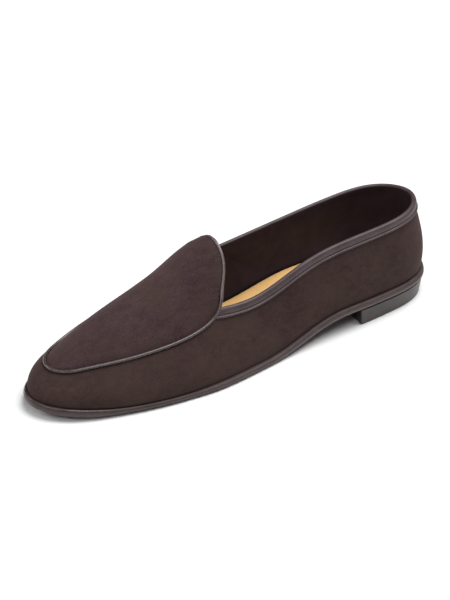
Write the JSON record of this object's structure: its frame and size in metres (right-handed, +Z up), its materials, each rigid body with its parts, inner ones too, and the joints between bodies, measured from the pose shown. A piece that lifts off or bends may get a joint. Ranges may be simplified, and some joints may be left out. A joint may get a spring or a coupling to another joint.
{
  "type": "suede slip-on loafer",
  "caption": "Left slip-on loafer of brown suede with a piped apron and tab, a leather-bound collar, a tan insole and a thin leather sole on a low heel.",
  "frame": {"origin": "middle of the shoe's box in plan, on the floor that it stands on", "axes": "+Z up, toe towards -Y and heel towards +Y, outer side of the foot towards +X"},
  "size_m": [0.0938, 0.294, 0.0764],
  "materials": {
    "suede": "matte napped suede",
    "trim_leather": "satin smooth leather",
    "insole_leather": "soft satin natural leather",
    "sole_leather": "waxed leather edge",
    "heel_leather": "waxed stacked leather"
  },
  "bodies": {
    "root": {"upper": "suede", "apron_piping": "trim_leather", "collar_binding": "trim_leather", "insole": "insole_leather", "welt": "sole_leather", "outsole": "sole_leather", "heel": "heel_leather"}
  },
  "joints": []
}
